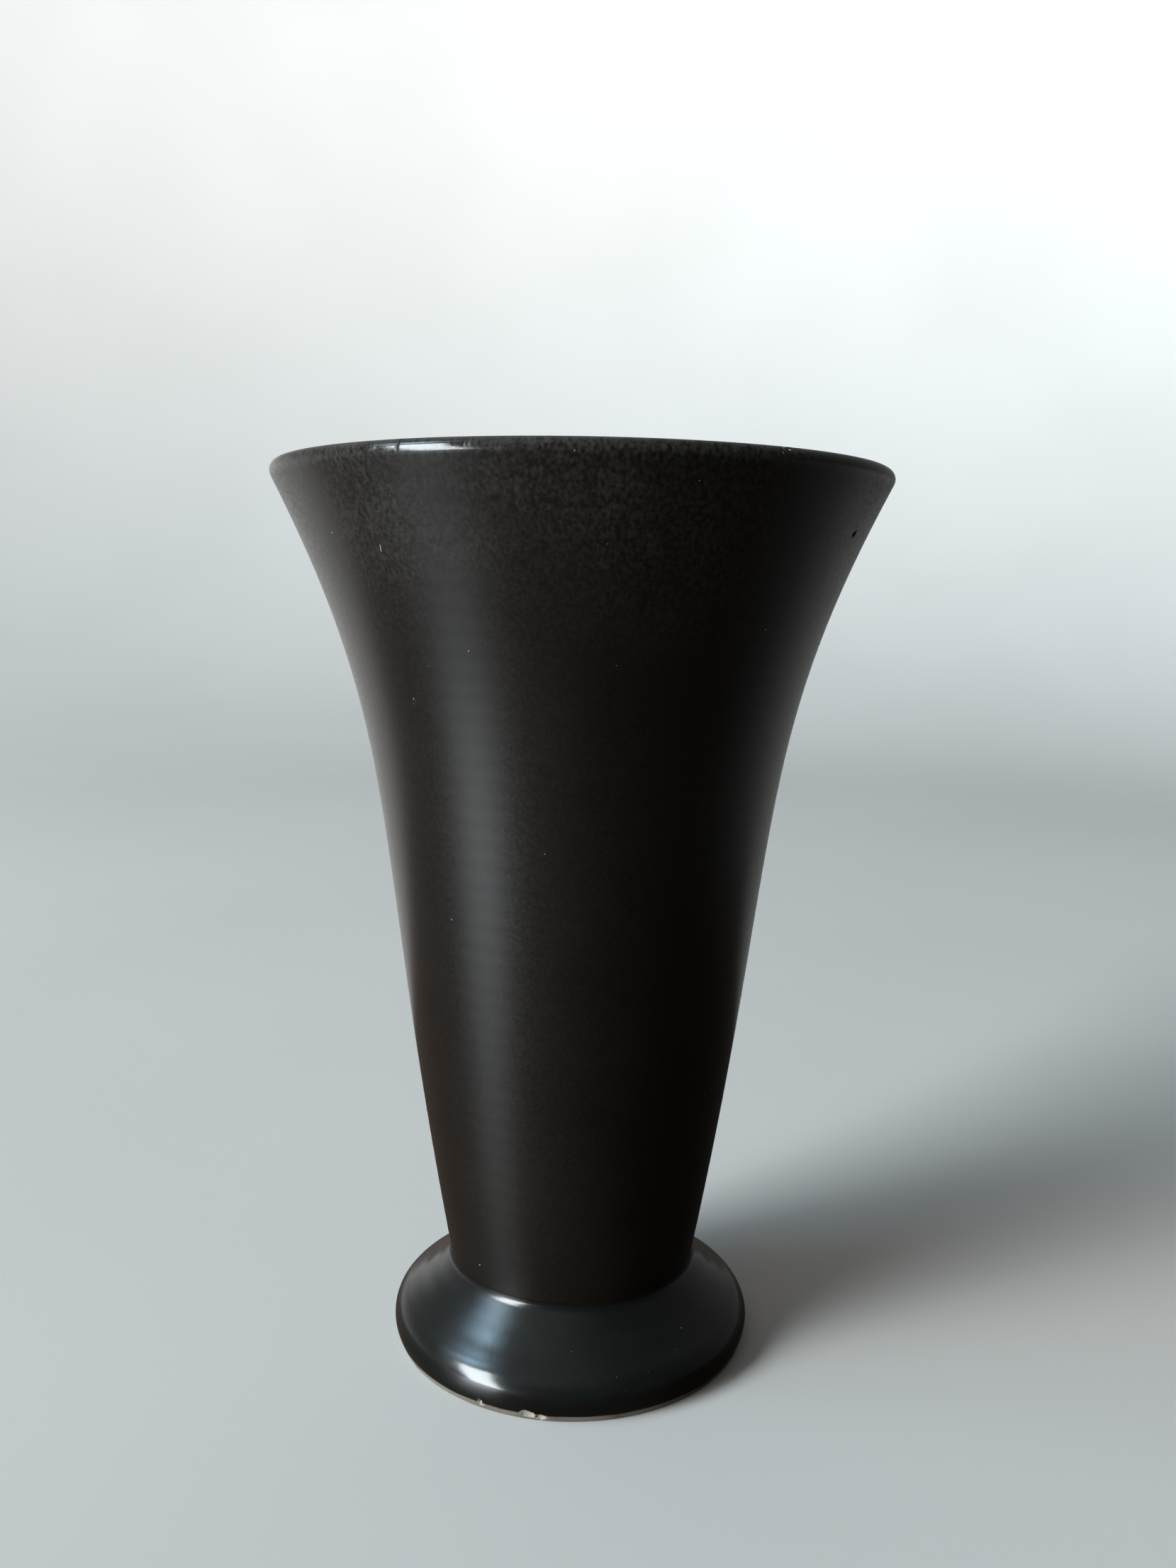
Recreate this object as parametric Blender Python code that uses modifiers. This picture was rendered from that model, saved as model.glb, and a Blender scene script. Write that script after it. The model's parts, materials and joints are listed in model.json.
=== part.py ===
"""A black-glazed footed vase, as the potter assembles it.

A flared beaker and a low spreading foot are thrown apart, luted together with a ring of
slip, and glazed in three coats: one outside and over the lip, one inside, one on the foot.
Outlines are drawn in millimetres as (radius, height) pairs, with the table at height zero,
and every piece is one such outline turned about the Z axis.
"""

from math import atan2, cos, hypot, pi, radians, sin

import bpy

MM = 0.001
TURN_STEPS = 48
SHARP_EDGE = radians(35)
MERGE_DISTANCE = 0.05 * MM

# Overall sizes
HEIGHT = 210.0
RIM_RADIUS = 70.6
CREASE_RADIUS = 29.8
CREASE_HEIGHT = 19.5

# The beaker's wall is one long curve. It leaves the crease at one lean from the vertical
# and arrives at the lip at another, and each pull is how far it keeps to that lean.
CREASE_LEAN = radians(10.3)
CREASE_PULL = 110.0
RIM_LEAN = radians(26.3)
RIM_PULL = 67.3
WALL_STEPS = 9

# Thicknesses
LIP_RADIUS = 2.2
LIP_STEP = radians(45)
WALL_AT_LIP = 2 * LIP_RADIUS
WALL_AT_FLOOR = 6.0
GLAZE = 0.5
GAP = 0.3
LIP_LAP = 8.0

# Inside the beaker
BEAKER_BOTTOM = 19.0
FLOOR_HEIGHT = 26.0
FLOOR_ROUNDING = 9.0
WALL_FOOT_SHARE = 0.12

# The pedestal foot: a steep edge band, a rounded shoulder and a skirt up to the crease
FOOT_RADIUS = 42.7
SHOULDER = (45.2, 6.4)
SHOULDER_ROUNDING = 5.0
SKIRT_SAG = 0.4
SKIRT_STEPS = 4
BARE_LINE = 0.9
EDGE_CHAMFER = 0.4
RING_INNER_RADIUS = 36.5
COLLAR_RADIUS = 20.0
COLLAR_TOP = 17.8
VAULT_SPRING = (34.5, 5.0)
VAULT_CROWN = (27.0, 14.6)

# The slip that joins them
SLIP_BOTTOM = COLLAR_TOP + GAP
SLIP_TOP = BEAKER_BOTTOM - GAP
SLIP_RADII = (20.8, 29.2)


def curve_point(ends, pulls, t):
    """A point on a cubic curve between two ends, steered by two pull points."""
    weights = ((1 - t) ** 3, 3 * t * (1 - t) ** 2, 3 * t * t * (1 - t), t**3)
    corners = (ends[0], pulls[0], pulls[1], ends[1])
    return tuple(sum(w * c[k] for w, c in zip(weights, corners)) for k in (0, 1))


def soft_corner(start, corner, end, steps):
    """Points of a rounding that leaves start towards corner and turns to arrive at end."""
    shares = [i / steps for i in range(steps + 1)]
    return [
        tuple((1 - s) ** 2 * start[k] + 2 * s * (1 - s) * corner[k] + s * s * end[k] for k in (0, 1))
        for s in shares
    ]


def towards(start, end, distance):
    """The point that lies a distance from start on the way to end."""
    share = distance / hypot(end[0] - start[0], end[1] - start[1])
    return tuple(a + (b - a) * share for a, b in zip(start, end))


def inset(outline, depth):
    """The outline moved sideways by depth, to the left of its direction of travel."""
    moved = []
    for i, (r, z) in enumerate(outline):
        before = outline[max(i - 1, 0)]
        after = outline[min(i + 1, len(outline) - 1)]
        heading_in = atan2(z - before[1], r - before[0])
        heading_out = atan2(after[1] - z, after[0] - r)
        if i == 0:
            heading_in = heading_out
        if i == len(outline) - 1:
            heading_out = heading_in
        half_turn = ((heading_out - heading_in + pi) % (2 * pi) - pi) / 2
        side = heading_in + half_turn + pi / 2
        reach = depth / cos(half_turn)
        moved.append((max(r + reach * cos(side), 0.0), z + reach * sin(side)))
    return moved


def wall_ends():
    """Where the outer wall starts at the crease and where it meets the rounded lip."""
    lip_centre = (RIM_RADIUS - LIP_RADIUS, HEIGHT - LIP_RADIUS)
    start = (CREASE_RADIUS, CREASE_HEIGHT + GAP)
    end = (lip_centre[0] + LIP_RADIUS * cos(RIM_LEAN), lip_centre[1] - LIP_RADIUS * sin(RIM_LEAN))
    return start, end


def wall_point(t, depth_at_floor=0.0, depth_at_lip=0.0):
    """A point on the wall's outer curve, or as deep under it as the two depths say."""
    start, end = wall_ends()
    pulls = (
        (start[0] + CREASE_PULL * sin(CREASE_LEAN), start[1] + CREASE_PULL * cos(CREASE_LEAN)),
        (end[0] - RIM_PULL * sin(RIM_LEAN), end[1] - RIM_PULL * cos(RIM_LEAN)),
    )
    here = curve_point((start, end), pulls, t)
    step = 0.001
    below = curve_point((start, end), pulls, max(t - step, 0.0))
    above = curve_point((start, end), pulls, min(t + step, 1.0))
    lean = atan2(above[0] - below[0], above[1] - below[1])
    depth = depth_at_floor + (depth_at_lip - depth_at_floor) * t
    return here[0] - depth * cos(lean), here[1] + depth * sin(lean)


def outer_surface():
    """The glazed outside from the crease up, over the lip and a little way down inside."""
    wall = [wall_point(i / WALL_STEPS) for i in range(WALL_STEPS)]
    centre = (RIM_RADIUS - LIP_RADIUS, HEIGHT - LIP_RADIUS)
    angles = [-RIM_LEAN] + [i * LIP_STEP for i in range(4)] + [pi - RIM_LEAN]
    lip = [(centre[0] + LIP_RADIUS * cos(a), centre[1] + LIP_RADIUS * sin(a)) for a in angles]
    return wall + lip + [inner_wall_point(1 - LIP_LAP / HEIGHT)]


def inner_wall_point(t):
    return wall_point(t, WALL_AT_FLOOR, WALL_AT_LIP)


def inner_surface():
    """The glazed inside, from just under the lip's coat down to the middle of the floor."""
    top = 1 - (LIP_LAP + GAP) / HEIGHT
    shares = [top + (WALL_FOOT_SHARE - top) * i / (WALL_STEPS - 2) for i in range(WALL_STEPS - 1)]
    wall = [inner_wall_point(t) for t in shares]
    foot = wall[-1]
    corner = (foot[0] - (foot[1] - FLOOR_HEIGHT) * sin(CREASE_LEAN), FLOOR_HEIGHT)
    floor_start = (corner[0] - FLOOR_ROUNDING, FLOOR_HEIGHT)
    rounding = soft_corner(foot, corner, floor_start, 3)
    return wall[:-1] + rounding + [(0.0, FLOOR_HEIGHT)]


def foot_surface():
    """The foot's outside, from the table up over the shoulder and the skirt to the crease."""
    base = (FOOT_RADIUS, 0.0)
    crease = (CREASE_RADIUS, CREASE_HEIGHT)
    band_end = towards(SHOULDER, base, SHOULDER_ROUNDING)
    skirt_start = towards(SHOULDER, crease, SHOULDER_ROUNDING)
    shoulder = soft_corner(band_end, SHOULDER, skirt_start, 5)
    middle = [(a + b) / 2 - 2 * SKIRT_SAG * sin(pi / 4) for a, b in zip(skirt_start, crease)]
    skirt = soft_corner(skirt_start, middle, crease, SKIRT_STEPS)
    return [base, towards(base, SHOULDER, BARE_LINE)] + shoulder + skirt[1:]


def coat(surface):
    """A glaze coat's outline: its surface, and back again one glaze thickness deeper."""
    return surface + inset(surface, GLAZE)[::-1]


def beaker_outline():
    """The fired clay of the beaker, which lies under both of its glazes."""
    clay_depth = GLAZE + GAP
    skin = inset(outer_surface() + inner_surface(), clay_depth)
    bottom_edge = (skin[0][0] - EDGE_CHAMFER, BEAKER_BOTTOM)
    return [(0.0, BEAKER_BOTTOM), bottom_edge] + skin


def foot_outline():
    """The fired clay of the foot: a bare standing ring, a vault under it and a top collar."""
    surface = foot_surface()
    glazed_clay = inset(surface[1:], GLAZE + GAP)
    under_glaze = [p for p in glazed_clay if p[1] < COLLAR_TOP - GAP]
    slope_end = under_glaze[-1]
    skirt_slope = (glazed_clay[-1][1] - slope_end[1]) / (glazed_clay[-1][0] - slope_end[0])
    collar_edge = (slope_end[0] + (COLLAR_TOP - slope_end[1]) / skirt_slope, COLLAR_TOP)
    bare_edge = [
        (RING_INNER_RADIUS, 0.0),
        (FOOT_RADIUS - EDGE_CHAMFER, 0.0),
        (FOOT_RADIUS, EDGE_CHAMFER),
        surface[1],
    ]
    vault = [(COLLAR_RADIUS, COLLAR_TOP), (COLLAR_RADIUS, COLLAR_TOP - 1.5), VAULT_CROWN, VAULT_SPRING]
    return bare_edge + under_glaze + [collar_edge] + vault


def slip_outline():
    inner, outer = SLIP_RADII
    return [(inner, SLIP_BOTTOM), (outer, SLIP_BOTTOM), (outer, SLIP_TOP), (inner, SLIP_TOP)]


def foot_glaze_outline():
    """The foot's coat, which starts just above the bare line and stops at the crease."""
    surface = foot_surface()
    start = towards(surface[1], surface[2], GAP)
    return coat([start] + surface[2:])


def runs_clockwise(outline):
    following = outline[1:] + outline[:1]
    return sum(a[0] * b[1] - b[0] * a[1] for a, b in zip(outline, following)) < 0


def turned(name, outline, material, collection):
    """Turns an outline about the Z axis into one closed body."""
    points = outline if runs_clockwise(outline) else outline[::-1]
    on_axis = sum(1 for r, z in points if r == 0.0)
    if on_axis:
        while not (points[0][0] == 0.0 and points[-1][0] == 0.0):
            points = points[1:] + points[:1]
    links = [(i, i + 1) for i in range(len(points) - 1)]
    if not on_axis:
        links.append((len(points) - 1, 0))
    sketch = bpy.data.meshes.new(name + "_outline")
    sketch.from_pydata([(r * MM, 0.0, z * MM) for r, z in points], links, [])
    piece = bpy.data.objects.new(name, sketch)
    collection.objects.link(piece)
    screw = piece.modifiers.new("Turn", "SCREW")
    screw.axis = "Z"
    screw.angle = 2 * pi
    screw.steps = TURN_STEPS
    screw.render_steps = TURN_STEPS
    screw.use_merge_vertices = True
    screw.merge_threshold = MERGE_DISTANCE
    body = bpy.data.meshes.new_from_object(piece.evaluated_get(bpy.context.evaluated_depsgraph_get()))
    body.name = name
    body.shade_smooth()
    body.set_sharp_from_angle(angle=SHARP_EDGE)
    body.materials.append(material)
    piece.modifiers.clear()
    piece.data = body
    bpy.data.meshes.remove(sketch)
    return piece


def finish_of(name, colour, roughness):
    """A non-metallic material with one colour and one roughness."""
    material = bpy.data.materials.new(name)
    material.use_nodes = True
    shader = material.node_tree.nodes["Principled BSDF"]
    shader.inputs["Base Color"].default_value = (*colour, 1.0)
    shader.inputs["Roughness"].default_value = roughness
    shader.inputs["Metallic"].default_value = 0.0
    return material


def clear_scene():
    for thing in list(bpy.data.objects):
        bpy.data.objects.remove(thing)


def build():
    clear_scene()
    vase = bpy.data.collections.new("footed_vase")
    bpy.context.scene.collection.children.link(vase)
    beaker_clay = finish_of("beaker_clay", (0.72, 0.64, 0.53), 0.85)
    foot_clay = finish_of("foot_clay", (0.76, 0.69, 0.58), 0.85)
    slip = finish_of("joining_slip", (0.68, 0.60, 0.50), 0.9)
    black_satin = finish_of("black_satin_glaze", (0.026, 0.022, 0.019), 0.38)
    black_liner = finish_of("black_liner_glaze", (0.022, 0.020, 0.019), 0.30)
    black_gloss = finish_of("black_gloss_glaze", (0.020, 0.023, 0.024), 0.20)
    turned("beaker_body", beaker_outline(), beaker_clay, vase)
    turned("pedestal_foot", foot_outline(), foot_clay, vase)
    turned("luting_slip", slip_outline(), slip, vase)
    turned("body_glaze", coat(outer_surface()), black_satin, vase)
    turned("liner_glaze", coat(inner_surface()), black_liner, vase)
    turned("foot_glaze", foot_glaze_outline(), black_gloss, vase)


build()
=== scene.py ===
# %% [markdown]
# # A black-glazed footed vase
# The vase is two thrown pieces of pale clay, a flared beaker and a low spreading foot, joined
# with slip and hidden under black glaze. Nearly every piece is round, so one geometry-node
# tree, a potter's wheel, turns them all from flat outlines. Chips, pits and grit are added to
# the turned ware as real shapes, and each finish is a procedural material.

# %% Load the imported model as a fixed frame
import json
from math import atan2, cos, hypot, pi, radians, sin

import bmesh
import bpy
from mathutils import Matrix, Vector, noise

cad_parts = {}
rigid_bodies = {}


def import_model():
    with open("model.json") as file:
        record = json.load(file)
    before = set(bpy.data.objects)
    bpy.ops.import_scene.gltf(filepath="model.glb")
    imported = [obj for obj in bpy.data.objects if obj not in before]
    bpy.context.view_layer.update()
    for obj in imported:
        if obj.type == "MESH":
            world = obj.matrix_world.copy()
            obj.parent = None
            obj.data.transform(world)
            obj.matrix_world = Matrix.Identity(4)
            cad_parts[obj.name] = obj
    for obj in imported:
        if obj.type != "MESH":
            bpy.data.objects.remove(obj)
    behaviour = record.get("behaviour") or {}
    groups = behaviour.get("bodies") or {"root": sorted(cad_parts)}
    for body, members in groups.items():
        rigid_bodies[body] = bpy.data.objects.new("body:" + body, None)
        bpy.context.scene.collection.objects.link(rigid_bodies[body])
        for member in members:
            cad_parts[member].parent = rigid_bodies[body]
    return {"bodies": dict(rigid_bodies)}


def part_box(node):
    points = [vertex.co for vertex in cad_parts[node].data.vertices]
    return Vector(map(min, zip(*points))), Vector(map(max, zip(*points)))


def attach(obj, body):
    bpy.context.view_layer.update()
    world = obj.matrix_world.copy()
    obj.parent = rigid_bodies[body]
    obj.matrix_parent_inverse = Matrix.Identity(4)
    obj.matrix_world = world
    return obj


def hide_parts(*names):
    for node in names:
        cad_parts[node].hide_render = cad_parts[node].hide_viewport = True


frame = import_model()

MM = 0.001
BODY = next(iter(frame["bodies"]))
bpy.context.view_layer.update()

# %% [markdown]
# ## Sizes
# The frame already fixes how large every part is. Reading the sizes from the boxes of its
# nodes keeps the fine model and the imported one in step: if the vase grew, this script would
# follow. Only what a box can't tell, such as how the wall curves, is written down here.

# %% Read the driving sizes from the frame
PACKED_GLAZE = 0.5 * MM
glaze_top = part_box("body_glaze")[1]
height = glaze_top.z
rim_radius = glaze_top.x
crease_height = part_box("foot_glaze")[1].z
crease_radius = 29.8 * MM
collar_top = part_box("pedestal_foot")[1].z
beaker_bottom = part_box("beaker_body")[0].z
floor_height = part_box("liner_glaze")[0].z + PACKED_GLAZE
slip_low, slip_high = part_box("luting_slip")
print(f"height {height / MM:.1f} mm, rim {2 * rim_radius / MM:.1f} mm across")
print(f"crease at {crease_height / MM:.1f} mm, floor inside at {floor_height / MM:.1f} mm")


# %% [markdown]
# ## Camera
# A phone held a little below the rim and a hand's length away makes the near lip bow upwards
# and the foot open into a wide ellipse. The view shapes the vase as much as the light does,
# so the camera is set first. It is aimed by its own three directions, with a small roll, as
# a hand-held camera has.

# %% Make the camera
CAMERA_DISTANCE = 1.478 * height
CAMERA_HEIGHT = 0.866 * height
CAMERA_PITCH = radians(8.23)
CAMERA_YAW = radians(0.43)
CAMERA_ROLL = radians(0.91)
LENS = 30.1
SENSOR_WIDTH = 36.0


def placed(name, data):
    """A new object in the scene."""
    made = bpy.data.objects.new(name, data)
    bpy.context.scene.collection.objects.link(made)
    return made


level = cos(CAMERA_PITCH)
forward = Vector((sin(CAMERA_YAW) * level, cos(CAMERA_YAW) * level, -sin(CAMERA_PITCH)))
level_right = Vector((cos(CAMERA_YAW), -sin(CAMERA_YAW), 0.0))
level_up = level_right.cross(forward)
right = level_right * cos(CAMERA_ROLL) + level_up * sin(CAMERA_ROLL)
up = right.cross(forward)
directions = Matrix((right, up, -forward)).transposed().to_4x4()
camera = placed("camera", bpy.data.cameras.new("camera"))
camera.data.lens = LENS
camera.data.sensor_width = SENSOR_WIDTH
camera.matrix_world = Matrix.Translation((0.0, -CAMERA_DISTANCE, CAMERA_HEIGHT)) @ directions
bpy.context.scene.camera = camera
print("camera at", [round(x, 4) for x in camera.matrix_world.translation])


# %% [markdown]
# ## Outlines
# A turned pot is described by half of its section: a line of (radius, height) points. Long
# curves are cubic, shoulders and coves are quadratic roundings, and a lip is an arc. Moving
# an outline sideways by a thickness gives the inside of a wall or the back of a glaze coat,
# so one surface line is enough to draw both the glaze and the clay beneath it.

# %% Outline helpers
def weighed(weights, corners):
    """The sum of some (radius, height) points, each times its weight."""
    return tuple(sum(w * c[k] for w, c in zip(weights, corners)) for k in (0, 1))


def cubic(start, pull_a, pull_b, end, steps):
    """Points along a cubic curve from start to end."""
    points = []
    for i in range(steps + 1):
        t = i / steps
        weights = ((1 - t) ** 3, 3 * t * (1 - t) ** 2, 3 * t * t * (1 - t), t**3)
        points.append(weighed(weights, (start, pull_a, pull_b, end)))
    return points


def rounding(start, corner, end, steps):
    """Points of a soft turn that leaves start towards corner and arrives at end."""
    points = []
    for i in range(steps + 1):
        s = i / steps
        points.append(weighed(((1 - s) ** 2, 2 * s * (1 - s), s * s), (start, corner, end)))
    return points


def towards(start, end, distance):
    """The point that lies a distance from start on the way to end."""
    share = distance / hypot(end[0] - start[0], end[1] - start[1])
    return tuple(a + (b - a) * share for a, b in zip(start, end))


print("a soft quarter turn in two steps:", rounding((1.0, 0.0), (1.0, 1.0), (0.0, 1.0), 2))


# %% Lengths, directions and insets of a line
def travelled(line):
    """How far along a line each of its points lies."""
    lengths = [0.0]
    for before, here in zip(line, line[1:]):
        lengths.append(lengths[-1] + hypot(here[0] - before[0], here[1] - before[1]))
    return lengths


def headings(outline):
    """The direction of travel at each point, halfway between its two neighbouring edges."""
    result = []
    for i in range(len(outline)):
        before = outline[max(i - 1, 0)]
        after = outline[min(i + 1, len(outline) - 1)]
        result.append(atan2(after[1] - before[1], after[0] - before[0]))
    return result


def inset(outline, depth):
    """The outline moved by depth to the left of its travel, which is into the clay."""
    depths = depth if isinstance(depth, list) else [depth] * len(outline)
    return [
        (max(r - d * sin(a), 0.0), z + d * cos(a))
        for (r, z), a, d in zip(outline, headings(outline), depths)
    ]


def spaced(outline, spacing):
    """The same line with its points about evenly spaced, its two ends kept."""
    lengths = travelled(outline)
    count = max(round(lengths[-1] / spacing), 1)
    points = []
    k = 0
    for i in range(count + 1):
        target = lengths[-1] * i / count
        while k < len(outline) - 2 and lengths[k + 1] < target:
            k += 1
        points.append(towards(outline[k], outline[k + 1], target - lengths[k]))
    return points


print("a slope of 3 by 4 is", travelled([(0.0, 0.0), (3.0, 4.0)])[-1], "long")


# %% Draw the vase's visible surface lines
CREASE_LEAN = radians(10.3)
CREASE_PULL = 110.0 * MM
RIM_LEAN = radians(26.3)
RIM_PULL = 67.3 * MM
LIP_RADIUS = 2.2 * MM
LIP_LAP = 7.0 * MM
WALL_AT_LIP = 2 * LIP_RADIUS
WALL_AT_FLOOR = 6.0 * MM
WALL_STEPS = 240
LIP_STEPS = 20
COVE = 1.25 * MM
FOOT_RADIUS = 42.7 * MM
SHOULDER = (45.2 * MM, 6.4 * MM)
SHOULDER_ROUNDING = 5.0 * MM
SKIRT_SAG = 0.3 * MM
BARE_LINE = 1.15 * MM

lip_centre = (rim_radius - LIP_RADIUS, height - LIP_RADIUS)
wall_start = (crease_radius, crease_height)
wall_end = (lip_centre[0] + LIP_RADIUS * cos(RIM_LEAN), lip_centre[1] - LIP_RADIUS * sin(RIM_LEAN))
wall_line = cubic(
    wall_start,
    (wall_start[0] + CREASE_PULL * sin(CREASE_LEAN), wall_start[1] + CREASE_PULL * cos(CREASE_LEAN)),
    (wall_end[0] - RIM_PULL * sin(RIM_LEAN), wall_end[1] - RIM_PULL * cos(RIM_LEAN)),
    wall_end,
    WALL_STEPS,
)
lip_angles = [-RIM_LEAN + pi * i / LIP_STEPS for i in range(1, LIP_STEPS)]
lip_line = [(lip_centre[0] + LIP_RADIUS * cos(a), lip_centre[1] + LIP_RADIUS * sin(a)) for a in lip_angles]
wall_depths = [
    WALL_AT_FLOOR + (WALL_AT_LIP - WALL_AT_FLOOR) * i / WALL_STEPS for i in range(WALL_STEPS + 1)
]
inner_wall = inset(wall_line, wall_depths)[::-1]

cove_top = towards(wall_line[0], wall_line[20], COVE)
skirt_top = (crease_radius, crease_height)
base = (FOOT_RADIUS, 0.0)
band_end = towards(SHOULDER, base, SHOULDER_ROUNDING)
skirt_start = towards(SHOULDER, skirt_top, SHOULDER_ROUNDING)
cove_bottom = towards(skirt_top, skirt_start, COVE)
skirt_middle = tuple((a + b) / 2 - 2 * SKIRT_SAG * sin(pi / 4) for a, b in zip(skirt_start, cove_bottom))
foot_line = (
    [base]
    + rounding(band_end, SHOULDER, skirt_start, 16)
    + rounding(skirt_start, skirt_middle, cove_bottom, 20)[1:]
    + rounding(cove_bottom, skirt_top, cove_top, 8)[1:]
)
print(f"wall line {len(wall_line)} points, foot line {len(foot_line)} points")


# %% [markdown]
# ## The wheel
# A turned shape could be a Screw modifier or a spin. A geometry-node wheel does more: while
# it turns the outline it can leave the marks of making. The fingers rise as the pot turns, so
# the throwing ring is one spiral, and it wanders a little because hands do. The tree lays
# out a grid, looks up each row's point on the outline, wraps the columns round the axis and
# presses the spiral in along the surface's own direction. Outlines carry three values per
# point: which way is outward, how deep the fingers pressed, and how far an edge may wander.

# %% Node helpers
def add_node(tree, kind, inputs=None, **settings):
    """A node with its settings and inputs; an input is a value or another node's socket."""
    made = tree.nodes.new(kind)
    for name, value in settings.items():
        setattr(made, name, value)
    for key, value in (inputs or {}).items():
        if isinstance(value, bpy.types.NodeSocket):
            tree.links.new(value, made.inputs[key])
        else:
            made.inputs[key].default_value = value
    return made


def calculate(tree, operation, a, b=0.0):
    """The output of a Math node."""
    return add_node(tree, "ShaderNodeMath", {0: a, 1: b}, operation=operation).outputs[0]


def plus(tree, a, b):
    return calculate(tree, "ADD", a, b)


def times(tree, a, b):
    return calculate(tree, "MULTIPLY", a, b)


def vectors(tree, operation, inputs, output="Vector"):
    """The output of a Vector Math node."""
    return add_node(tree, "ShaderNodeVectorMath", inputs, operation=operation).outputs[output]


def axes_of(tree, vector):
    """The x, y and z of a vector."""
    return add_node(tree, "ShaderNodeSeparateXYZ", {0: vector}).outputs


def vector_of(tree, x, y, z=0.0):
    """A vector made from its x, y and z."""
    return add_node(tree, "ShaderNodeCombineXYZ", {0: x, 1: y, 2: z}).outputs[0]


print("short forms of add_node: calculate, plus, times, vectors, axes_of, vector_of")


# %% Start, end and run a tree
def named(tree, name, data_type="FLOAT"):
    """What a mesh has stored under a name."""
    return add_node(tree, "GeometryNodeInputNamedAttribute", {"Name": name}, data_type=data_type).outputs[0]


def start_tree(name, sockets):
    """A new tree with its named inputs, each with its kind of socket."""
    tree = bpy.data.node_groups.new(name, "GeometryNodeTree")
    for socket, kind in sockets.items():
        tree.interface.new_socket(socket, in_out="INPUT", socket_type="NodeSocket" + kind)
    tree.interface.new_socket("Geometry", in_out="OUTPUT", socket_type="NodeSocketGeometry")
    return tree, tree.nodes.new("NodeGroupInput").outputs


def end_tree(tree, geometry, finish):
    """Every tree ends the same way: real geometry, smooth, with its material."""
    real = add_node(tree, "GeometryNodeRealizeInstances", {"Geometry": geometry})
    smooth = add_node(tree, "GeometryNodeSetShadeSmooth", {"Geometry": real.outputs[0]})
    coloured = add_node(tree, "GeometryNodeSetMaterial", {"Geometry": smooth.outputs[0], "Material": finish})
    add_node(tree, "NodeGroupOutput", {0: coloured.outputs[0]})


def real_mesh(source):
    """The mesh that an object's modifiers make of it."""
    return bpy.data.meshes.new_from_object(source.evaluated_get(bpy.context.evaluated_depsgraph_get()))


def made_by(tree, mesh, name, values):
    """Runs a tree on a mesh, with its inputs set by the identifiers of their sockets, and
    keeps the result as a plain object at the origin with one material."""
    sketch = placed(name + "_sketch", mesh)
    modifier = sketch.modifiers.new(tree.name, "NODES")
    modifier.node_group = tree
    sockets = {s.name: s.identifier for s in tree.interface.items_tree if s.in_out == "INPUT"}
    for socket, value in values.items():
        modifier[sockets[socket]] = value
    result = real_mesh(sketch)
    result.name = name
    finish = next(material for material in result.materials if material)
    result.materials.clear()
    result.materials.append(finish)
    result.polygons.foreach_set("material_index", [0] * len(result.polygons))
    bpy.data.objects.remove(sketch)
    return placed(name, result)


print("a tree is begun by start_tree, closed by end_tree and run by made_by")


# %% Build the wheel
HAND_WANDER = 25.0
SPONGE_WANDER = 160.0
SEAM_WELD = 0.004 * MM


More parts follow.
